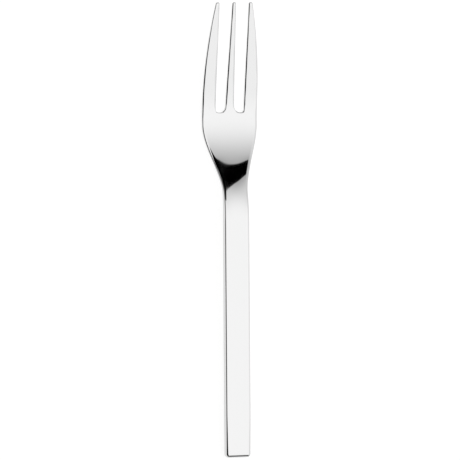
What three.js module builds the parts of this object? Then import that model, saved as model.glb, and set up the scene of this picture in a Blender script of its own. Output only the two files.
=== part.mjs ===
// A serving fork with three tines, forged in one piece from stainless steel and mirror polished.
//
// Millimetres, +Z up. The fork lies on a table, hollow side up, with its tips towards +Y. It touches
// the table with the lower edge of the handle's end and with the back of its bowl. The origin is on
// the table, under the middle of the fork.
//
// The steel is first shaped in the handle's own frame: the handle's upper face is level at height 0,
// and Y runs from the handle's end to the tips. The finished fork is then tipped until it rests.

import * as THREE from "three";

const { clamp, degToRad, lerp, smoothstep } = THREE.MathUtils;

// Lengths along the fork
const overallLength = 240;
const headLength = 101; // from where the handle begins to flare, to the tips
const flareLength = 37; // over which the handle's width grows to the head's
const taperLength = 52; // over which the head narrows towards the tips
const slotLength = 58; // from the slots' roots to the tips

// Widths and corner radii in plan
const handleWidth = 14;
const headWidth = 30.8;
const tipSpan = 20.4; // over the outer tines, at the tips
const tipWidth = 2; // of each tine
const middleTineWidth = 5; // at its root
const outerTineWidth = 7.5; // at its root
const middleRootRadius = 3.1; // slot corner beside the middle tine
const outerRootRadius = 1.5; // slot corner beside an outer tine
const endCornerRadius = 2; // corners of the handle's end
const tipCornerRadius = 0.8; // corners of each tine's tip

// Thicknesses
const handleEndThickness = 5;
const neckThickness = 4.3;
const bowlThickness = 2.1;
const tipThickness = 1.6;

// Bends of the side profile
const neckLead = 14; // the neck begins to bend this far before the flare
const neckBendLength = 25.7;
const neckAngle = 20.3; // degrees that the neck would fall from the handle without the bowl's bend
const bendOverlap = 6; // the bowl's bend begins this far before the neck's bend ends
const bowlBendLength = 52.1; // along the middle of the fork
const heelSweep = 3.3; // at the head's edges the bowl's bend is shorter by this much at both ends
const tineAngle = 8.4; // degrees that the tines rise from the handle

// Form of the cross sections
const neckCrown = 0.53; // how far the sides of the neck fall below its middle
const hollowRadius = 405; // across the bowl, where its hollow is deepest
const hollowLead = 5.8; // the hollow begins this far before the bowl's bend
const hollowRise = 13.8; // over which the hollow reaches that radius
const hollowFade = 6.8; // over which it flattens again towards the tines
const handleEdgeRadius = 1.2; // polished round along the handle's edges
const headEdgeWidth = 1.6; // the head's edges are rounded over this width
const headEdgeDepth = 0.8; // and to this depth

// How finely the loft is divided
const neckRowPitch = 2.5;
const tineRowPitch = 4.5;
const cornerSteps = 5; // rows over a corner radius
const edgeSteps = 3; // columns over a rounded edge
const middleSteps = 2; // columns between two rounded edges

// Stations along the fork, from the handle's end
const headStart = overallLength - headLength;
const flareEnd = headStart + flareLength;
const taperStart = overallLength - taperLength;
const slotRoot = overallLength - slotLength;
const neckStart = headStart - neckLead;
const neckEnd = neckStart + neckBendLength;
const bowlStart = neckEnd - bendOverlap;
const bowlEnd = bowlStart + bowlBendLength;
const hollowStart = bowlStart - hollowLead;
const hollowDeepest = hollowStart + hollowRise;
const hollowEnd = hollowDeepest + hollowFade;

// Plan view

const roundShare = 0.45; // a round takes at most this share of the width that two of them lie on
const endCorner = Math.min(endCornerRadius, roundShare * handleWidth);
const tipCorner = Math.min(tipCornerRadius, roundShare * tipWidth);
const slotRootWidth = (headWidth - middleTineWidth) / 2 - outerTineWidth;
const rootRoom = (2 * roundShare * slotRootWidth) / (middleRootRadius + outerRootRadius);
const middleRoot = middleRootRadius * Math.min(1, rootRoom);
const outerRoot = outerRootRadius * Math.min(1, rootRoom);

// How far a round corner has drawn in at a distance from the end that it belongs to.
function cornerInset(radius, distance) {
  const left = clamp(radius - distance, 0, radius);
  return radius - Math.sqrt(radius ** 2 - left ** 2);
}

// How far along the tines y is: 0 at the slots' roots, 1 at the tips.
function alongTines(y) {
  return (y - slotRoot) / slotLength;
}

// Distance from the middle plane to the outer edge of the handle or head.
function outerEdge(y) {
  const flared = lerp(handleWidth, headWidth, smoothstep(y, headStart, flareEnd));
  const taper = clamp((y - taperStart) / taperLength, 0, 1) ** 2;
  const half = (flared - (headWidth - tipSpan) * taper) / 2;
  return half - cornerInset(endCorner, y) - cornerInset(tipCorner, overallLength - y);
}

// Distance from the middle plane to the wall that the outer tine turns to the slot.
function outerTineWall(y) {
  const rootWall = headWidth / 2 - outerTineWidth;
  const tipWall = tipSpan / 2 - tipWidth;
  const straight = lerp(rootWall, tipWall, alongTines(y));
  const rootCorner = cornerInset(outerRoot, y - slotRoot);
  return straight - rootCorner + cornerInset(tipCorner, overallLength - y);
}

// Distance from the middle plane to the wall of the middle tine.
function middleTineWall(y) {
  const straight = lerp(middleTineWidth, tipWidth, alongTines(y)) / 2;
  const rootCorner = cornerInset(middleRoot, y - slotRoot);
  return straight + rootCorner - cornerInset(tipCorner, overallLength - y);
}

// Distance, square to the wall, from a point that lies `across` from it along X.
function squareDistance(wall, y, across) {
  const reach = 0.01; // the wall's lean is taken over this length to each side
  const lean = (wall(y + reach) - wall(y - reach)) / (2 * reach);
  return across / Math.hypot(1, lean);
}

// Distance from a point of the steel to the slot beside it. `side` is its distance from the middle plane.
function slotDistance(side, y) {
  const middleCentre = middleTineWidth / 2 + middleRoot;
  const outerCentre = headWidth / 2 - outerTineWidth - outerRoot;
  if (side < middleCentre) {
    const below = slotRoot + middleRoot - y;
    if (below < 0) return squareDistance(middleTineWall, y, middleTineWall(y) - side);
    return Math.hypot(middleCentre - side, below) - middleRoot;
  }
  if (side > outerCentre) {
    const below = slotRoot + outerRoot - y;
    if (below < 0) return squareDistance(outerTineWall, y, side - outerTineWall(y));
    return Math.hypot(side - outerCentre, below) - outerRoot;
  }
  return slotRoot - y;
}

// Distance in plan from a point of the steel to the nearest edge.
function edgeDistance(x, y) {
  const side = Math.abs(x);
  const outer = squareDistance(outerEdge, y, outerEdge(y) - side);
  return Math.max(0, Math.min(outer, slotDistance(side, y), y, overallLength - y));
}

// Side view

// Height gained at y by a bend that turns the line from level to a slope of 1.
function bendRise(y, start, length) {
  const turn = clamp((y - start) / length, 0, 1);
  return length * (turn ** 3 - turn ** 4 / 2) + Math.max(0, y - start - length);
}

const neckSlope = Math.tan(degToRad(neckAngle));
const tineSlope = Math.tan(degToRad(tineAngle));

// Height of the upper face before it is crowned or hollowed.
function upperLine(x, y) {
  const late = heelSweep * (x / (headWidth / 2)) ** 2;
  const fall = neckSlope * bendRise(y, neckStart, neckBendLength);
  return (neckSlope + tineSlope) * bendRise(y, bowlStart + late, bowlBendLength - 2 * late) - fall;
}

// Slope of that face along the middle of the fork.
function upperSlope(y) {
  const fall = neckSlope * smoothstep(y, neckStart, neckEnd);
  return (neckSlope + tineSlope) * smoothstep(y, bowlStart, bowlEnd) - fall;
}

// Thickness of the steel, square to its faces.
function thickness(y) {
  const handle = lerp(handleEndThickness, neckThickness, clamp(y / neckStart, 0, 1));
  const bowl = lerp(handle, bowlThickness, smoothstep(y, neckStart, flareEnd));
  return lerp(bowl, tipThickness, clamp(alongTines(y), 0, 1));
}

// Cross sections

// How far a rounded edge has fallen below the face, at a distance from the edge.
function edgeFall(width, depth, distance) {
  const left = clamp(1 - distance / width, 0, 1);
  return depth * (1 - Math.sqrt(1 - left ** 2));
}

// Share of the way from the handle's rounded edges to the head's.
function headShare(y) {
  return smoothstep(y, neckStart, flareEnd);
}

// Width of a rounded edge. It shrinks along the tines, so that two of them fit on a tip.
function edgeWidth(y) {
  const tipEdgeWidth = Math.min(headEdgeWidth, roundShare * tipWidth);
  const head = lerp(headEdgeWidth, tipEdgeWidth, clamp(alongTines(y), 0, 1));
  return lerp(handleEdgeRadius, head, headShare(y));
}

// Depth of a rounded edge.
function edgeDepth(y) {
  const wallShare = 0.4; // a rounded edge takes at most this share of the thickness
  return Math.min(lerp(handleEdgeRadius, headEdgeDepth, headShare(y)), wallShare * thickness(y));
}

// Heights of the upper and the lower face over a point in plan.
function faceHeights(x, y) {
  const upright = Math.hypot(1, upperSlope(y)); // a sloping plate is thicker measured straight up
  const middle = upperLine(x, y) - (upright * thickness(y)) / 2;
  const hollowed = smoothstep(y, hollowStart, hollowDeepest);
  const flattened = smoothstep(y, hollowDeepest, hollowEnd);
  const dish = (hollowed * (1 - flattened) * x ** 2) / (2 * hollowRadius);
  const crowned = smoothstep(y, neckStart, hollowStart) * (1 - hollowed);
  const crown = neckCrown * crowned * (x / outerEdge(y)) ** 2;
  const edge = edgeFall(edgeWidth(y), edgeDepth(y), edgeDistance(x, y));
  const half = upright * (thickness(y) / 2 - edge) - crown;
  return { upper: middle + dish + half, lower: middle + dish - half };
}

// The loft

// Distances from a corner's end, close together where the corner turns.
function cornerRows(radius) {
  const rows = [];
  for (let step = 0; step <= cornerSteps; step += 1) {
    rows.push(radius * (1 - Math.cos((step / cornerSteps) * (Math.PI / 2))));
  }
  return rows;
}

// The values that divide a stretch into equal parts, without its two ends.
function dividers(from, to, parts) {
  return Array.from({ length: parts - 1 }, (_, index) => lerp(from, to, (index + 1) / parts));
}

// The same, with parts that are at most `pitch` long.
function pitched(from, to, pitch) {
  return dividers(from, to, Math.ceil((to - from) / pitch));
}

// Stations of the rows across the steel.
const rootEdge = slotRoot - headEdgeWidth;
const tineStart = slotRoot + middleRoot;
const tipStart = overallLength - tipCorner;
const rows = [
  ...cornerRows(endCorner),
  neckStart,
  ...pitched(neckStart, rootEdge, neckRowPitch),
  ...cornerRows(headEdgeWidth).map((distance) => slotRoot - distance).reverse(),
  ...cornerRows(middleRoot).slice(1).map((distance) => slotRoot + distance),
  ...pitched(tineStart, tipStart, tineRowPitch),
  ...cornerRows(tipCorner).map((distance) => overallLength - distance).reverse(),
];
const rootRow = rows.indexOf(slotRoot);

// Places across one strip of a row, close together at both edges, where the steel is rounded.
function stripPlaces(from, to, y) {
  const round = Math.min(edgeWidth(y), roundShare * (to - from));
  const places = [];
  for (let step = 0; step <= edgeSteps; step += 1) {
    places.push(from + round * (1 - Math.cos((step / edgeSteps) * (Math.PI / 2))));
  }
  places.push(...dividers(from + round, to - round, middleSteps));
  for (let step = edgeSteps; step >= 0; step -= 1) {
    places.push(to - round * (1 - Math.cos((step / edgeSteps) * (Math.PI / 2))));
  }
  return places;
}

// Borders of a row's five strips: outer tine, web, middle tine, web and outer tine. Short of the
// slots' roots they run on through the steel, drawn together with the outline.
function stripBorders(y) {
  const outer = outerEdge(y);
  const drawn = y < slotRoot ? outer / outerEdge(slotRoot) : 1;
  const station = Math.max(y, slotRoot);
  const outerWall = outerTineWall(station) * drawn;
  const middleWall = middleTineWall(station) * drawn;
  return [-outer, -outerWall, -middleWall, middleWall, outerWall, outer];
}

// The closed surface of the whole fork, in the handle's frame.
function forkGeometry() {
  const positions = [];
  const triangles = [];

  function point(x, y) {
    const { upper, lower } = faceHeights(x, y);
    positions.push(x, y, upper, x, y, lower);
    const first = positions.length / 3 - 2;
    return { upper: first, lower: first + 1 };
  }

  function quad(a, b, c, d) {
    triangles.push(a, b, c, a, c, d);
  }

  // A wall between the faces, seen from outside with `left` on the left.
  function wall(left, right) {
    quad(left.upper, left.lower, right.lower, right.upper);
  }

  const grid = rows.map((y, row) => {
    const borders = stripBorders(y);
    const strips = [];
    for (let strip = 0; strip < borders.length - 1; strip += 1) {
      const isWeb = strip % 2 === 1;
      if (isWeb && row > rootRow) {
        strips.push(null);
        continue;
      }
      const from = borders[strip];
      const to = borders[strip + 1];
      const webPlaces = [from, ...dividers(from, to, middleSteps), to];
      const places = isWeb ? webPlaces : stripPlaces(from, to, y);
      const joined = strip > 0 && row <= rootRow ? strips[strip - 1].at(-1) : null;
      strips.push(places.map((x, column) => (column === 0 && joined) || point(x, y)));
    }
    return strips;
  });

  for (let row = 0; row < grid.length - 1; row += 1) {
    grid[row].forEach((near, strip) => {
      const far = grid[row + 1][strip];
      if (!far) return;
      for (let column = 0; column < near.length - 1; column += 1) {
        const corners = [near[column], near[column + 1], far[column + 1], far[column]];
        quad(...corners.map((corner) => corner.upper));
        quad(...corners.reverse().map((corner) => corner.lower));
      }
      const isTine = row >= rootRow;
      if (strip === 0 || isTine) wall(far[0], near[0]);
      if (strip === grid[row].length - 1 || isTine) wall(near.at(-1), far.at(-1));
    });
  }

  // The handle's end, the slots' roots and the tips close the rows' ends.
  const closeEnd = (strip, faces) => {
    for (let column = 0; column < strip.length - 1; column += 1) {
      const pair = [strip[column], strip[column + 1]];
      wall(...(faces < 0 ? pair : pair.reverse()));
    }
  };
  grid[0].forEach((strip) => closeEnd(strip, -1));
  grid[rootRow].forEach((strip, index) => index % 2 === 1 && closeEnd(strip, 1));
  grid.at(-1).forEach((strip) => strip && closeEnd(strip, 1));

  const geometry = new THREE.BufferGeometry();
  geometry.setAttribute("position", new THREE.Float32BufferAttribute(positions, 3));
  geometry.setIndex(triangles);
  geometry.computeVertexNormals();
  return geometry;
}

// Rest on the table

// Angle of the plane that touches the handle's end and the back of the bowl from below.
function restAngle(surface) {
  const heel = handleEdgeRadius;
  const heelHeight = faceHeights(0, heel).lower;
  const points = surface.getAttribute("position");
  let least = Infinity;
  for (let index = 0; index < points.count; index += 1) {
    const y = points.getY(index);
    if (y < bowlStart) continue;
    least = Math.min(least, (points.getZ(index) - heelHeight) / (y - heel));
  }
  return -Math.atan(least);
}

const polishedSteel = new THREE.MeshStandardMaterial({
  color: 0xd9d9d8,
  metalness: 1,
  roughness: 0.08,
});

const fork = new THREE.Mesh(forkGeometry(), polishedSteel);
fork.name = "fork";
fork.rotation.x = restAngle(fork.geometry);

const box = new THREE.Box3().setFromObject(fork, true);
const middle = box.getCenter(new THREE.Vector3());
fork.position.set(-middle.x, -middle.y, -box.min.z);

const servingFork = new THREE.Group();
servingFork.add(fork);

export default servingFork;
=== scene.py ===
# %% [markdown]
# # A polished serving fork
# The real fork is one forging of stainless steel, polished like a mirror. A mirror has hardly any
# colour of its own, so three things make its picture: an exact surface, a finish that blurs very
# little, and a studio that is worth mirroring. The lesson takes them in that order.
#
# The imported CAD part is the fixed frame. It gives the fork's size and place, and the finer surface
# that is made here stands in for it.

import math

import bpy
import numpy as np
from mathutils import Matrix, Vector


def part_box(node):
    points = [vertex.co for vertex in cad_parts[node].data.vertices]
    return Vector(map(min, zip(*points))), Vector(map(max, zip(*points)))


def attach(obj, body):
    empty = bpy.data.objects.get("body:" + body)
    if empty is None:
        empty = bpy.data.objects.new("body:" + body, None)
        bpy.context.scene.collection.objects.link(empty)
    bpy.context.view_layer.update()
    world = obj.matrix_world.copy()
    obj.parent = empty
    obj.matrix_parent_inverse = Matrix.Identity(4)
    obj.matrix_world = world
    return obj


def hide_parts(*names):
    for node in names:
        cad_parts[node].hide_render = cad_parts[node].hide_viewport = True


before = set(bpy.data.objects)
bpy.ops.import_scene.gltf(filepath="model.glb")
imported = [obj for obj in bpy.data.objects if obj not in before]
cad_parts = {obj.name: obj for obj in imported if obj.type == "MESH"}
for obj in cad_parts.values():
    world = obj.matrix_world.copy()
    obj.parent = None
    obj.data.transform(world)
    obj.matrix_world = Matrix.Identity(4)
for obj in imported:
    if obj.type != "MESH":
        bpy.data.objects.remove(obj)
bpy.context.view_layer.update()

# %% [markdown]
# ## The sizes
# A maker would forge the fork from a flat bar: the handle stays a bar, the neck is bent, and the
# head is beaten wide and thin before its slots are cut. The same few sizes drive the surface here,
# in millimetres. Y is the distance from the handle's end, and X is the distance from the middle.

# %% Lengths along the fork and widths across it
overall_length = 240
head_length = 101  # from where the handle begins to flare, to the tips
flare_length = 37  # over which the handle's width grows to the head's
taper_length = 52  # over which the head narrows towards the tips
slot_length = 58  # from the slots' roots to the tips

handle_width = 14
head_width = 30.8
tip_span = 20.4  # over the outer tines, at the tips
tip_width = 2  # of each tine
middle_tine_width = 5  # at its root
outer_tine_width = 7.5  # at its root

head_start = overall_length - head_length
flare_end = head_start + flare_length
taper_start = overall_length - taper_length
slot_root = overall_length - slot_length
print("Slots begin", slot_root, "mm from the handle's end")

# %% [markdown]
# ## The outline from above
# The outline could be drawn as a curve and filled, but a filled curve has no rows to bend later.
# So each edge is a small function that says how far it lies from the middle at a given Y. The
# functions take whole arrays of places at once, which keeps the script fast.

# %% Blends between two values
def lerp(start, end, share):
    return start + (end - start) * share


def smoothstep(value, start, end):
    share = np.clip((value - start) / (end - start), 0, 1)
    return share * share * (3 - 2 * share)


# %% Corners of the outline
middle_root_radius = 3.1  # slot corner beside the middle tine
outer_root_radius = 1.5  # slot corner beside an outer tine
end_corner_radius = 2  # corners of the handle's end
tip_corner_radius = 0.8  # corners of each tine's tip


def corner_inset(radius, distance):
    """How far a round corner has drawn in at a distance from the end that it belongs to."""
    left = np.clip(radius - distance, 0, radius)
    return radius - np.sqrt(radius**2 - left**2)


# %% Edges of the handle, the head and the tines
def along_tines(y):
    return (y - slot_root) / slot_length


def outer_edge(y):
    flared = lerp(handle_width, head_width, smoothstep(y, head_start, flare_end))
    taper = np.clip((y - taper_start) / taper_length, 0, 1) ** 2
    half = (flared - (head_width - tip_span) * taper) / 2
    end_corner = corner_inset(end_corner_radius, y)
    return half - end_corner - corner_inset(tip_corner_radius, overall_length - y)


def outer_tine_wall(y):
    root_wall = head_width / 2 - outer_tine_width
    tip_wall = tip_span / 2 - tip_width
    root_corner = corner_inset(outer_root_radius, y - slot_root)
    tip_corner = corner_inset(tip_corner_radius, overall_length - y)
    return lerp(root_wall, tip_wall, along_tines(y)) - root_corner + tip_corner


def middle_tine_wall(y):
    straight = lerp(middle_tine_width, tip_width, along_tines(y)) / 2
    root_corner = corner_inset(middle_root_radius, y - slot_root)
    return straight + root_corner - corner_inset(tip_corner_radius, overall_length - y)


print("Head is", round(2 * float(outer_edge(flare_end)), 1), "mm wide")

# %% [markdown]
# ## How near is the edge?
# Polishing rounds every edge a little, also around the slots. To round them all in one go, each
# point of the steel needs its distance to the nearest edge. Near a slot's corner that is the
# distance to the corner's circle, and along a slanting wall it is measured square to the wall.

# %% Distance to the nearest edge
def square_distance(wall, y, across):
    reach = 0.01  # the wall's lean is taken over this length to each side
    lean = (wall(y + reach) - wall(y - reach)) / (2 * reach)
    return across / np.hypot(1, lean)


def corner_distance(centre, radius, side, y):
    return np.hypot(centre - side, slot_root + radius - y) - radius


def slot_distance(side, y):
    middle_centre = middle_tine_width / 2 + middle_root_radius
    by_middle = np.where(
        y > slot_root + middle_root_radius,
        square_distance(middle_tine_wall, y, middle_tine_wall(y) - side),
        corner_distance(middle_centre, middle_root_radius, side, y),
    )
    outer_centre = head_width / 2 - outer_tine_width - outer_root_radius
    by_outer = np.where(
        y > slot_root + outer_root_radius,
        square_distance(outer_tine_wall, y, side - outer_tine_wall(y)),
        corner_distance(outer_centre, outer_root_radius, side, y),
    )
    beside_outer = np.where(side > outer_centre, by_outer, slot_root - y)
    return np.where(side < middle_centre, by_middle, beside_outer)


def edge_distance(x, y):
    side = np.abs(x)
    outer = square_distance(outer_edge, y, outer_edge(y) - side)
    ends = np.minimum(y, overall_length - y)
    return np.maximum(0, np.minimum(np.minimum(outer, ends), slot_distance(side, y)))


# %% [markdown]
# ## The outline from the side
# The neck bends down from the handle, and before it has finished, the bowl begins to bend up again
# into the tines. At the sides the bowl's bend begins later than in the middle. Each bend eases in
# and out, so that nothing mirrored in it has a kink. The thickness falls from the handle's end to
# the tips, as it does under a forge's hammer.

# %% Bends
neck_lead = 14  # the neck begins to bend this far before the flare
neck_bend_length = 25.7
bend_overlap = 6  # the bowl's bend begins this far before the neck's bend ends
bowl_bend_length = 52.1  # along the middle of the fork
heel_sweep = 3.3  # at the head's edges the bowl's bend is shorter by this much at both ends
neck_slope = math.tan(math.radians(20.3))  # of the neck, were it not for the bowl's bend
tine_slope = math.tan(math.radians(8.4))  # the tines rise from the handle

neck_start = head_start - neck_lead
neck_end = neck_start + neck_bend_length
bowl_start = neck_end - bend_overlap
bowl_end = bowl_start + bowl_bend_length


def bend_rise(y, start, length):
    """Height gained at y by a bend that turns a line from level to a slope of 1."""
    turn = np.clip((y - start) / length, 0, 1)
    return length * (turn**3 - turn**4 / 2) + np.maximum(0, y - start - length)


def upper_line(x, y):
    late = heel_sweep * (x / (head_width / 2)) ** 2
    fall = neck_slope * bend_rise(y, neck_start, neck_bend_length)
    rise = bend_rise(y, bowl_start + late, bowl_bend_length - 2 * late)
    return (neck_slope + tine_slope) * rise - fall


def upper_slope(y):
    fall = neck_slope * smoothstep(y, neck_start, neck_end)
    return (neck_slope + tine_slope) * smoothstep(y, bowl_start, bowl_end) - fall


print("Tips lie", round(-float(upper_line(0, overall_length)), 2), "mm below the handle's face")

# %% Thickness
handle_end_thickness = 5
neck_thickness = 4.3
bowl_thickness = 2.1
tip_thickness = 1.6


def thickness(y):
    handle = lerp(handle_end_thickness, neck_thickness, np.clip(y / neck_start, 0, 1))
    bowl = lerp(handle, bowl_thickness, smoothstep(y, neck_start, flare_end))
    return lerp(bowl, tip_thickness, np.clip(along_tines(y), 0, 1))


# %% [markdown]
# ## The cross sections
# The handle's faces are flat, the neck's are slightly crowned, and the bowl is slightly hollow.
# Those differences are a few tenths of a millimetre, and in clay they would be lost. In a mirror
# they decide where each reflection lies, so they belong in the mesh and not in a bump texture.
# The same goes for the edges. A polishing wheel rounds them most in the bend of the neck and where
# it runs off the handle's end, least at the slots' roots, and never quite evenly along the tines.

# %% Rounded edges of the handle and the head
handle_edge_radius = 1.2
head_edge_width = 1.6
head_edge_depth = 0.8
end_rounding = 0.5  # share by which the handle's edges are rounder at its end
end_reach = 25  # over which that fades
round_share = 0.45  # of a tip's width that one rounded edge may take
wall_share = 0.4  # of the thickness that one rounded edge may take


def head_share(y):
    return smoothstep(y, neck_start, flare_end)


def handle_round(y):
    """The wheel runs off the handle's end, and rounds its edges more there."""
    return handle_edge_radius * (1 + end_rounding * (1 - smoothstep(y, 0, end_reach)))


def edge_depth(y):
    depth = lerp(handle_round(y), head_edge_depth, head_share(y))
    return np.minimum(depth, wall_share * thickness(y))


# %% Where the wheel rounds the edges more, and where less
neck_rounding = 0.3  # share by which the edges are wider in the bend of the neck
neck_widest = head_start + 8, head_start + 16  # they are widest between these
neck_reach = 11  # over which that fades, before and behind
root_sharpness = 0.5  # share by which the edges are narrower at the slots' roots
root_near, root_far = 1, 4  # from the root: narrowest up to here, and as elsewhere from here
slot_side, outer_side = 9, 11  # from the middle: the head's outer edges stay as they are
edge_waves = [  # share of the width, length of a wave, slant across the fork, place of a start
    (0.25, 40, 0.45, 194.3),
    (0.15, 13, 1.4, 0),
]


def neck_share(y):
    """The wheel leans into the bend of the neck, and rounds the edges there more widely."""
    start, end = neck_widest
    grown = smoothstep(y, start - neck_reach, start)
    return 1 + neck_rounding * (grown - smoothstep(y, end, end + neck_reach))


def root_share(x, y):
    """Deep in the slots it hardly reaches the edges, and leaves them sharper."""
    deep = 1 - smoothstep(np.abs(y - slot_root), root_near, root_far)
    between = 1 - smoothstep(np.abs(x), slot_side, outer_side)
    return 1 - root_sharpness * deep * between


def wave_share(x, y):
    """Along the tines it leaves the edges rounder in one place and sharper in the next."""
    waves = sum(
        share * np.sin(2 * math.pi * (y - slant * x - start) / length)
        for share, length, slant, start in edge_waves
    )
    return 1 + smoothstep(y, flare_end, slot_root) * waves


# %% Width and shape of a rounded edge
def edge_width(x, y):
    tip_edge_width = min(head_edge_width, round_share * tip_width)
    head = lerp(head_edge_width, tip_edge_width, np.clip(along_tines(y), 0, 1))
    polished = head * wave_share(x, y) * root_share(x, y)
    return neck_share(y) * lerp(handle_round(y), polished, head_share(y))


def edge_fall(width, depth, distance):
    """How far the face has fallen at a distance from the edge: a quarter of an ellipse."""
    left = np.clip(1 - distance / width, 0, 1)
    return depth * (1 - np.sqrt(1 - left**2))


for name, y in {"handle's end": 0, "handle": end_reach, "neck": neck_widest[0]}.items():
    print("Edge at the", name, "is", round(float(edge_width(outer_edge(y), y)), 2), "mm wide")

# %% Heights of the two faces
neck_crown = 0.53  # how far the sides of the neck fall below its middle
hollow_radius = 405  # across the bowl, where its hollow is deepest
hollow_lead = 5.8  # the hollow begins this far before the bowl's bend
hollow_growth = 13.8  # over which it grows to its deepest
hollow_fade = 6.8  # over which it is lost again
hollow_start = bowl_start - hollow_lead
hollow_deepest = hollow_start + hollow_growth
hollow_end = hollow_deepest + hollow_fade


def face_heights(x, y):
    upright = np.hypot(1, upper_slope(y))  # a sloping plate is thicker measured straight up
    middle = upper_line(x, y) - upright * thickness(y) / 2
    hollowed = smoothstep(y, hollow_start, hollow_deepest)
    flattened = smoothstep(y, hollow_deepest, hollow_end)
    dish = hollowed * (1 - flattened) * x**2 / (2 * hollow_radius)
    crowned = smoothstep(y, neck_start, hollow_start) * (1 - hollowed)
    crown = neck_crown * crowned * (x / outer_edge(y)) ** 2
    edge = edge_fall(edge_width(x, y), edge_depth(y), edge_distance(x, y))
    half = upright * (thickness(y) / 2 - edge) - crown
    return middle + dish + half, middle + dish - half


# %% [markdown]
# ## Rows and columns
# The faces are woven from rows across the fork and columns along it. A mirror shows every facet, so
# the rows lie close where the steel bends, and closest where an edge is rounded. There the steps
# follow equal angles of the round, not equal lengths.

# %% Rows from the handle's end to the tips
handle_row_pitch = 5
bend_row_pitch = 0.7
tine_row_pitch = 1.1
corner_steps = 12


def eased(length, steps):
    """Places over a length, close together at its start, where a round turns most."""
    return [length * (1 - math.cos(math.pi / 2 * step / steps)) for step in range(steps + 1)]


def spaced(start, end, pitch):
    """Places between a start and an end, without the two themselves."""
    return list(np.linspace(start, end, math.ceil((end - start) / pitch) + 1)[1:-1])


tine_start = slot_root + middle_root_radius
tip_start = overall_length - tip_corner_radius
rows = [
    *eased(end_corner_radius, corner_steps),
    *spaced(end_corner_radius, neck_start, handle_row_pitch),
    neck_start,
    *spaced(neck_start, slot_root - head_edge_width, bend_row_pitch),
    *(slot_root - step for step in reversed(eased(head_edge_width, corner_steps))),
    *(slot_root + step for step in eased(middle_root_radius, corner_steps)[1:]),
    *spaced(tine_start, tip_start, tine_row_pitch),
    *(overall_length - step for step in reversed(eased(tip_corner_radius, corner_steps))),
]
root_row = rows.index(slot_root)
print(len(rows), "rows, the slots from row", root_row)

# %% Columns of the five strips
edge_steps = 8  # over each rounded edge
middle_steps = 12  # between a tine's two edges
web_steps = 8  # across each web


def strip_borders(y):
    """Borders of the outer tine, web, middle tine, web and outer tine, from left to right."""
    outer = outer_edge(y)
    drawn = outer / outer_edge(slot_root) if y < slot_root else 1
    station = max(y, slot_root)
    middle_wall = middle_tine_wall(station) * drawn
    outer_wall = outer_tine_wall(station) * drawn
    return [-outer, -outer_wall, -middle_wall, middle_wall, outer_wall, outer]


def tine_columns(left, right, y):
    widest = round_share * (right - left)
    left_steps = eased(min(edge_width(left, y), widest), edge_steps)
    right_steps = eased(min(edge_width(right, y), widest), edge_steps)
    flat = np.linspace(left + left_steps[-1], right - right_steps[-1], middle_steps + 1)[1:-1]
    left_part = [left + step for step in left_steps]
    right_part = [right - step for step in reversed(right_steps)]
    return [*left_part, *flat, *right_part]


def web_columns(left, right, y):
    """Evenly spaced at every y, because a web has no edge to its left or right."""
    return list(np.linspace(left, right, web_steps + 1))


# %% [markdown]
# ## Weaving the surface
# Five strips make the head: two outer tines, the middle tine, and the two webs below the slots.
# Points where two strips meet are shared, so the strips are sewn as they are made. Every edge that
# only one face uses is part of the outline, and a wall closes it: around the handle, around each
# tine and at the slots' roots. That gives one closed skin without a list of special cases.

# %% Upper face
numbers = {}  # number of the point at each (x, y)


def weave(strip):
    """Make one strip's faces: even strips are tines, and odd ones are webs."""
    is_tine = strip % 2 == 0
    columns = tine_columns if is_tine else web_columns
    strip_rows = rows if is_tine else rows[: root_row + 1]
    grid = []
    for y in strip_rows:
        left, right = strip_borders(y)[strip : strip + 2]
        places = columns(left, right, y)
        grid.append([numbers.setdefault((float(x), float(y)), len(numbers)) for x in places])
    faces = []
    for near, far in zip(grid, grid[1:]):
        for column in range(len(near) - 1):
            faces.append((near[column], near[column + 1], far[column + 1], far[column]))
    return faces


strip_count = len(strip_borders(slot_root)) - 1
upper_faces = [face for strip in range(strip_count) for face in weave(strip)]
print(len(numbers), "points in plan,", len(upper_faces), "faces on the upper side")

# %% Lower face and walls
below = len(numbers)  # a point's number on the lower face is this much higher
lower_faces = [tuple(number + below for number in reversed(face)) for face in upper_faces]
borders = {pair for face in upper_faces for pair in zip(face, face[1:] + face[:1])}
walls = [(a, a + below, b + below, b) for a, b in sorted(borders) if (b, a) not in borders]
plan_x, plan_y = np.array(list(numbers)).T
upper, lower = face_heights(plan_x, plan_y)
points = np.concatenate(
    [np.stack([plan_x, plan_y, upper], axis=1), np.stack([plan_x, plan_y, lower], axis=1)]
)
print(len(walls), "wall faces")

# %% [markdown]
# ## Laying the fork on the table
# Up to here the handle is level. On a table the fork tips until it rests on the lower edge of the
# handle's end and on the back of the bowl. The plane that touches both from below gives the angle,
# and the CAD box tells whether the finer surface lies where the CAD part does.

# %% Tip it until it rests
heel = float(handle_round(0.0))  # where the end's rounded edge meets the flat underside
heel_height = face_heights(0.0, heel)[1]
head_y, head_z = points[points[:, 1] > bowl_start, 1:].T
rest_angle = -math.atan(((head_z - heel_height) / (head_y - heel)).min())
turned = points @ np.array(Matrix.Rotation(rest_angle, 3, "X")).T
lowest, highest = turned.min(axis=0), turned.max(axis=0)
middle_x, middle_y, _ = (lowest + highest) / 2
resting = turned - [middle_x, middle_y, lowest[2]]
print("Tipped by", round(math.degrees(rest_angle), 3), "degrees")

# %% Make the piece
fork_mesh = bpy.data.meshes.new("polished_fork")
fork_mesh.from_pydata(resting / 1000, [], upper_faces + lower_faces + walls)
fork_mesh.shade_smooth()
fork = bpy.data.objects.new("polished_fork", fork_mesh)
bpy.context.collection.objects.link(fork)
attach(fork, "root")
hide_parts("fork")

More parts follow.
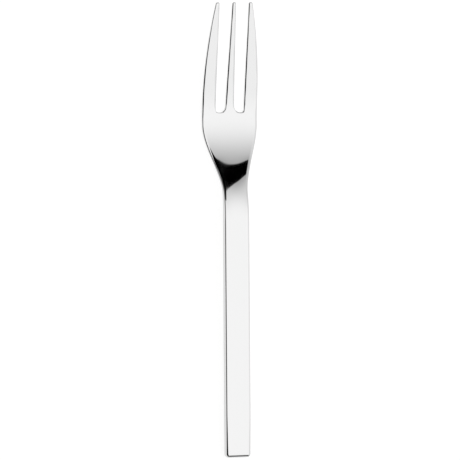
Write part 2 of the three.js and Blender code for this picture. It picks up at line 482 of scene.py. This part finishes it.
node_low, node_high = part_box("fork")
fit_low = np.array(node_low) * 1000 - resting.min(axis=0)
fit_high = np.array(node_high) * 1000 - resting.max(axis=0)
print("Off the CAD box by at most", round(float(np.abs([fit_low, fit_high]).max()), 3), "mm")

# %% [markdown]
# ## Mirror-polished stainless steel
# Stainless steel is a neutral, slightly dark mirror: it gives back about two thirds of the light.
# The last polish is done lengthwise with a soft wheel. It leaves a blur too fine to see, faint
# lines along the fork, and long shallow waves that bend a reflected edge a little. All three are
# in the material, because none of them changes the shape. Metals keep Blender's default IOR.

# %% Colours and nodes
def linear_colour(code):
    """The linear colour for a shader from an sRGB hex colour."""
    shares = [int(code[start : start + 2], 16) / 255 for start in (1, 3, 5)]
    linear = [s / 12.92 if s <= 0.04045 else ((s + 0.055) / 1.055) ** 2.4 for s in shares]
    return [*linear, 1.0]


def add_node(tree, kind, inputs=None, **settings):
    """Add a node, and fill its inputs with values or with links from other nodes."""
    node = tree.nodes.new(kind)
    for name, value in settings.items():
        setattr(node, name, value)
    for name, value in (inputs or {}).items():
        if isinstance(value, bpy.types.NodeSocket):
            tree.links.new(value, node.inputs[name])
        else:
            node.inputs[name].default_value = value
    return node


# %% Patterns of the polish
steel = bpy.data.materials.new("stainless steel, mirror polished")
steel.use_nodes = True
tree = steel.node_tree
tree.nodes.clear()
place = add_node(tree, "ShaderNodeTexCoord").outputs["Object"]  # in metres

# A pattern's scale says how often it repeats in a metre: 1000 mm over its size.
haze_size = 9  # mm across a patch of slightly duller polish
haze_low, haze_high = 0.3, 0.7  # most of the noise lies between these
bright_roughness, dull_roughness = 0.03, 0.055
haze = add_node(
    tree, "ShaderNodeTexNoise", {"Vector": place, "Scale": 1000 / haze_size, "Detail": 3.0}
)
roughness = add_node(
    tree,
    "ShaderNodeMapRange",
    {
        "Value": haze.outputs["Fac"],
        "From Min": haze_low,
        "From Max": haze_high,
        "To Min": bright_roughness,
        "To Max": dull_roughness,
    },
)

line_width, line_length = 0.5, 25  # mm; a real polishing line is far finer, and would not show
lines_place = add_node(
    tree,
    "ShaderNodeMapping",
    {"Vector": place, "Scale": (1000 / line_width, 1000 / line_length, 1000 / line_width)},
)
lines = add_node(
    tree, "ShaderNodeTexNoise", {"Vector": lines_place.outputs[0], "Scale": 1.0, "Detail": 2.0}
)
wave_size = 14  # mm from one shallow wave of the polish to the next
waves = add_node(
    tree, "ShaderNodeTexNoise", {"Vector": place, "Scale": 1000 / wave_size, "Detail": 0.0}
)
print("Patterns in mm: haze", haze_size, "lines", line_width, "waves", wave_size)

# %% The finish
line_depth = 1.0e-6  # metres
wave_depth = 20e-6  # metres
waved = add_node(
    tree,
    "ShaderNodeBump",
    {"Height": waves.outputs["Fac"], "Distance": wave_depth, "Strength": 1.0},
)
lined = add_node(
    tree,
    "ShaderNodeBump",
    {
        "Height": lines.outputs["Fac"],
        "Distance": line_depth,
        "Strength": 1.0,
        "Normal": waved.outputs[0],
    },
)
shader = add_node(
    tree,
    "ShaderNodeBsdfPrincipled",
    {
        "Base Color": linear_colour("#D9D9D9"),
        "Metallic": 1.0,
        "Roughness": roughness.outputs[0],
        "Normal": lined.outputs[0],
    },
)
add_node(tree, "ShaderNodeOutputMaterial", {"Surface": shader.outputs[0]})
fork_mesh.materials.append(steel)
print("Finish:", steel.name, "with", len(tree.nodes), "nodes")

# %% [markdown]
# ## The floor
# Cutlery is photographed on white, and the white floor is mirrored in every side wall. A floor that
# is lit only from above would turn grey, so this one also glows, as a lit table does. Enough of its
# light still comes from above to leave a faint shadow where the steel touches it.

# %% A pale floor that glows
floor_size = 12  # metres
floor_mesh = bpy.data.meshes.new("floor")
reach = floor_size / 2
corners = [(-reach, -reach, 0), (reach, -reach, 0), (reach, reach, 0), (-reach, reach, 0)]
floor_mesh.from_pydata(corners, [], [(0, 1, 2, 3)])
floor = bpy.data.objects.new("floor", floor_mesh)
bpy.context.collection.objects.link(floor)

# %% The floor's finish: matt white that neither shines nor turns grey
paper_roughness = 0.9
paper_glow = 0.84
paper = bpy.data.materials.new("white paper, lit from below")
paper.use_nodes = True
paper_shader = paper.node_tree.nodes["Principled BSDF"]
paper_shader.inputs["Base Color"].default_value = linear_colour("#9C9C9B")
paper_shader.inputs["Roughness"].default_value = paper_roughness
paper_shader.inputs["Emission Color"].default_value = linear_colour("#FFFFFF")
paper_shader.inputs["Emission Strength"].default_value = paper_glow
floor_mesh.materials.append(paper)
print("Floor:", floor_size, "m wide, in", paper.name)

# %% [markdown]
# ## The studio
# A mirror shows the room around it, so most of the fork's picture is made here. Lamps and walls
# could be modelled, but all of them are far away, and then only their direction counts. So the sky
# of the world holds the whole studio. Two angles describe a direction, both 0 straight up: how far
# it leans to the right, and how far it leans away towards the tips. Each light and each dark part
# is a range of those two angles, in degrees.

# %% Two angles of the sky
world = bpy.data.worlds.new("studio")
bpy.context.scene.world = world
world.use_nodes = True
sky = world.node_tree
sky.nodes.clear()
direction = add_node(sky, "ShaderNodeTexCoord").outputs["Generated"]
parts = add_node(sky, "ShaderNodeSeparateXYZ", {"Vector": direction}).outputs
right_turn = add_node(
    sky, "ShaderNodeMath", {0: parts["X"], 1: parts["Z"]}, operation="ARCTAN2"
).outputs[0]
right = add_node(sky, "ShaderNodeMath", {0: right_turn}, operation="DEGREES").outputs[0]
far_turn = add_node(sky, "ShaderNodeMath", {0: parts["Y"]}, operation="ARCSINE").outputs[0]
far = add_node(sky, "ShaderNodeMath", {0: far_turn}, operation="DEGREES").outputs[0]
print("Angles:", len(sky.nodes), "nodes")

# %% [markdown]
# ## The soft light
# A wide soft light hangs over the fork, brightest along a line a little towards the handle. It
# fades away from that line and to the right, as a lamp behind white cloth does. Some way beyond the
# handle it ends, and the room behind it is dim. The rounded edge of the handle's end mirrors that.

# %% The light fades from its brightest line
light_level = 1.3
brightest = -7  # far: a little towards the handle
fade_reach = 35  # over which it loses `fade_loss` of its level
fade_loss = 0.55
off_line = add_node(
    sky, "ShaderNodeMath", {0: far, 1: brightest}, operation="SUBTRACT"
).outputs[0]
share = add_node(sky, "ShaderNodeMath", {0: off_line, 1: fade_reach}, operation="DIVIDE").outputs[0]
squared = add_node(sky, "ShaderNodeMath", {0: share, 1: 2.0}, operation="POWER").outputs[0]
faded = add_node(
    sky,
    "ShaderNodeMath",
    {0: squared, 1: -fade_loss * light_level, 2: light_level},
    operation="MULTIPLY_ADD",
).outputs[0]

# %% It fades to the right as well
right_start, right_end = 28, 65  # right: full up to here, and weakest from here
right_level = 0.76  # share of its level that is left there
right_fade = add_node(
    sky,
    "ShaderNodeMapRange",
    {
        "Value": right,
        "From Min": right_start,
        "From Max": right_end,
        "To Min": 1.0,
        "To Max": right_level,
    },
    interpolation_type="SMOOTHSTEP",
).outputs[0]

# %% It ends beyond the handle
light_ends, light_full = -42, -32  # far: it has ended here, and is full from here
horizon = 90  # right
horizon_reach = 31  # it reaches this much farther beyond the handle at the right horizon
near_right = add_node(
    sky,
    "ShaderNodeMapRange",
    {"Value": right, "From Min": right_start, "From Max": horizon, "To Max": horizon_reach},
).outputs[0]
off_near = add_node(sky, "ShaderNodeMath", {0: far, 1: near_right}, operation="ADD").outputs[0]
near_end = add_node(
    sky,
    "ShaderNodeMapRange",
    {"Value": off_near, "From Min": light_ends, "From Max": light_full},
    interpolation_type="SMOOTHSTEP",
).outputs[0]
evenly = add_node(sky, "ShaderNodeMath", {0: faded, 1: near_end}, operation="MULTIPLY").outputs[0]
lit = add_node(sky, "ShaderNodeMath", {0: evenly, 1: right_fade}, operation="MULTIPLY").outputs[0]

# %% The dim room behind it is a little lighter towards the floor
dim_level = 0.1
low_level = 0.6
low_start, low_full = -63, -80  # far: it begins to grow lighter here, and is lightest here
near_level = add_node(
    sky,
    "ShaderNodeMapRange",
    {
        "Value": far,
        "From Min": low_full,
        "From Max": low_start,
        "To Min": low_level,
        "To Max": dim_level,
    },
    interpolation_type="SMOOTHSTEP",
).outputs[0]
soft_light = add_node(
    sky, "ShaderNodeMath", {0: lit, 1: near_level}, operation="MAXIMUM"
).outputs[0]
print("Sky with its light:", len(sky.nodes), "nodes")

# %% [markdown]
# ## The black card
# Towards the tips the light ends at a black card, and behind the card stands a pale wall.
# Photographers add such a card on purpose, because steel that mirrors nothing dark looks like white
# plastic. The neck mirrors it as one black shape. The slants of its edges give that shape its own.

# %% The card's near edge
card_right, card_far = 23, 28.96  # where the near edge changes its slant
left_slant, right_slant = 0.633, 0.371  # it lies farther away towards the right
card_left_far = 14  # far: it doesn't come nearer than this on the left
edge_blur = 0.3  # to each side of the edge
off_place = add_node(
    sky, "ShaderNodeMath", {0: right, 1: card_right}, operation="SUBTRACT"
).outputs[0]
left_edge = add_node(
    sky, "ShaderNodeMath", {0: off_place, 1: left_slant, 2: card_far}, operation="MULTIPLY_ADD"
).outputs[0]
right_edge = add_node(
    sky, "ShaderNodeMath", {0: off_place, 1: right_slant, 2: card_far}, operation="MULTIPLY_ADD"
).outputs[0]
slanted_edge = add_node(
    sky, "ShaderNodeMath", {0: left_edge, 1: right_edge}, operation="MINIMUM"
).outputs[0]
near_edge = add_node(
    sky, "ShaderNodeMath", {0: slanted_edge, 1: card_left_far}, operation="MAXIMUM"
).outputs[0]
past_near = add_node(sky, "ShaderNodeMath", {0: far, 1: near_edge}, operation="SUBTRACT").outputs[0]
behind_edge = add_node(
    sky,
    "ShaderNodeMapRange",
    {"Value": past_near, "From Min": -edge_blur, "From Max": edge_blur},
    interpolation_type="SMOOTHSTEP",
).outputs[0]

# %% The card and the wall behind it
card_depth = 8  # at the place above, from the near edge to the far one
depth_slant = -0.3  # the far edge lies nearer towards the right
wall_level = 0.85
wall_start, wall_full = -1, 3  # past the far edge: the wall begins here, and is palest from here
far_edge = add_node(
    sky,
    "ShaderNodeMath",
    {0: off_place, 1: depth_slant, 2: card_far + card_depth},
    operation="MULTIPLY_ADD",
).outputs[0]
past_far = add_node(sky, "ShaderNodeMath", {0: far, 1: far_edge}, operation="SUBTRACT").outputs[0]
card_level = add_node(
    sky,
    "ShaderNodeMapRange",
    {"Value": past_far, "From Min": wall_start, "From Max": wall_full, "To Max": wall_level},
    interpolation_type="SMOOTHSTEP",
).outputs[0]
with_card = add_node(
    sky, "ShaderNodeMix", {"Factor": behind_edge, 2: soft_light, 3: card_level}
).outputs[0]
print("Sky with the card:", len(sky.nodes), "nodes")

# %% [markdown]
# ## The rest of the room
# Along the horizon the room is pale, which keeps the fork's sides light. On the left it is dark,
# and that draws the left edges as thin dark lines. Without them the fork would melt into the white
# floor. The camera itself sees plain white wherever the floor ends.

# %% A pale glow along the horizon
glow_level = 0.85
glow_full, glow_end = 0.08, 0.25  # heights of a direction: palest up to here, and none from here
glow_start, glow_ahead = -60, -40  # far: none beyond the handle up to here, and full from here
low = add_node(
    sky,
    "ShaderNodeMapRange",
    {
        "Value": parts["Z"],
        "From Min": glow_full,
        "From Max": glow_end,
        "To Min": 1.0,
        "To Max": 0.0,
    },
    interpolation_type="SMOOTHSTEP",
).outputs[0]
ahead = add_node(
    sky,
    "ShaderNodeMapRange",
    {"Value": far, "From Min": glow_start, "From Max": glow_ahead},
    interpolation_type="SMOOTHSTEP",
).outputs[0]
glow_share = add_node(sky, "ShaderNodeMath", {0: low, 1: ahead}, operation="MULTIPLY").outputs[0]
with_glow = add_node(
    sky, "ShaderNodeMix", {"Factor": glow_share, 2: with_card, 3: glow_level}
).outputs[0]

# %% How dark the left side is
room_dark = 0.16
black_end, dark_start = -14, 8  # far: black up to here, and `room_dark` from here
left_glow = 0.8  # near the floor, and not towards the handle
left_glow_full, left_glow_end = -84, -68  # right: full up to here, and none from here
left_glow_start, left_glow_ahead = -4, 0  # far: none up to here, and full from here
room_level = add_node(
    sky,
    "ShaderNodeMapRange",
    {"Value": far, "From Min": black_end, "From Max": dark_start, "To Max": room_dark},
    interpolation_type="SMOOTHSTEP",
).outputs[0]
left_low = add_node(
    sky,
    "ShaderNodeMapRange",
    {
        "Value": right,
        "From Min": left_glow_full,
        "From Max": left_glow_end,
        "To Min": left_glow,
        "To Max": 0.0,
    },
    interpolation_type="SMOOTHSTEP",
).outputs[0]
glow_side = add_node(
    sky,
    "ShaderNodeMapRange",
    {"Value": far, "From Min": left_glow_start, "From Max": left_glow_ahead},
    interpolation_type="SMOOTHSTEP",
).outputs[0]
left_fill = add_node(
    sky, "ShaderNodeMath", {0: left_low, 1: glow_side, 2: room_level}, operation="MULTIPLY_ADD"
).outputs[0]

# %% Where the left side begins
tine_border, handle_border = -24, -37  # right: for what the tines mirror, and what the handle does
tine_end, handle_begin = -12.5, -6.5  # far: the first up to here, and the second from here
border_blur = 3  # to each side of the border
border_turn = add_node(
    sky,
    "ShaderNodeMapRange",
    {
        "Value": far,
        "From Min": tine_end,
        "From Max": handle_begin,
        "To Min": tine_border,
        "To Max": handle_border,
    },
).outputs[0]
past_border = add_node(
    sky, "ShaderNodeMath", {0: border_turn, 1: right}, operation="SUBTRACT"
).outputs[0]
dark_left = add_node(
    sky,
    "ShaderNodeMapRange",
    {"Value": past_border, "From Min": -border_blur, "From Max": border_blur},
    interpolation_type="SMOOTHSTEP",
).outputs[0]
mirrored = add_node(
    sky, "ShaderNodeMix", {"Factor": dark_left, 2: with_glow, 3: left_fill}
).outputs[0]

# %% What the camera sees behind the floor
backdrop = 1.0
seen = add_node(sky, "ShaderNodeLightPath").outputs["Is Camera Ray"]
level = add_node(sky, "ShaderNodeMix", {"Factor": seen, 2: mirrored, 3: backdrop}).outputs[0]
background = add_node(
    sky,
    "ShaderNodeBackground",
    {"Color": linear_colour("#FFFFFF"), "Strength": level},
)
add_node(sky, "ShaderNodeOutputWorld", {"Surface": background.outputs[0]})
print("Whole sky:", len(sky.nodes), "nodes")

# %% [markdown]
# ## The camera
# The photograph was taken from far above with a long lens, a little from the left, with the fork
# turned slightly in the frame. From so far away lines hardly converge. The camera's own axes are
# set directly: its right, its up, and the way back to it from the fork.

# %% Place the camera
from_left = math.radians(20.37)  # the camera's lean to the left of straight above
turn = math.atan(0.0218)  # of the fork in the frame
frame_height = 0.2428  # metres of the fork's plane that the frame takes in
distance = 3.0  # metres from the camera to the fork
aim_up, aim_left = 0.00016, 0.0005  # metres in the frame, from the fork's middle
back = Vector((-math.sin(from_left), 0, math.cos(from_left)))
level_right = Vector((math.cos(from_left), 0, math.sin(from_left)))
away = Vector((0, 1, 0))
camera_right = level_right * math.cos(turn) - away * math.sin(turn)
camera_up = away * math.cos(turn) + level_right * math.sin(turn)
aim = camera_up * aim_up - camera_right * aim_left

lens = bpy.data.cameras.new("camera")
lens.sensor_width = 36  # mm
lens.lens = lens.sensor_width * distance / frame_height
camera = bpy.data.objects.new("camera", lens)
bpy.context.collection.objects.link(camera)
axes = Matrix((camera_right, camera_up, back)).transposed().to_4x4()
camera.matrix_world = Matrix.Translation(aim + back * distance) @ axes
bpy.context.scene.camera = camera
bpy.context.scene.view_settings.view_transform = "Standard"
print("Lens:", round(lens.lens), "mm")
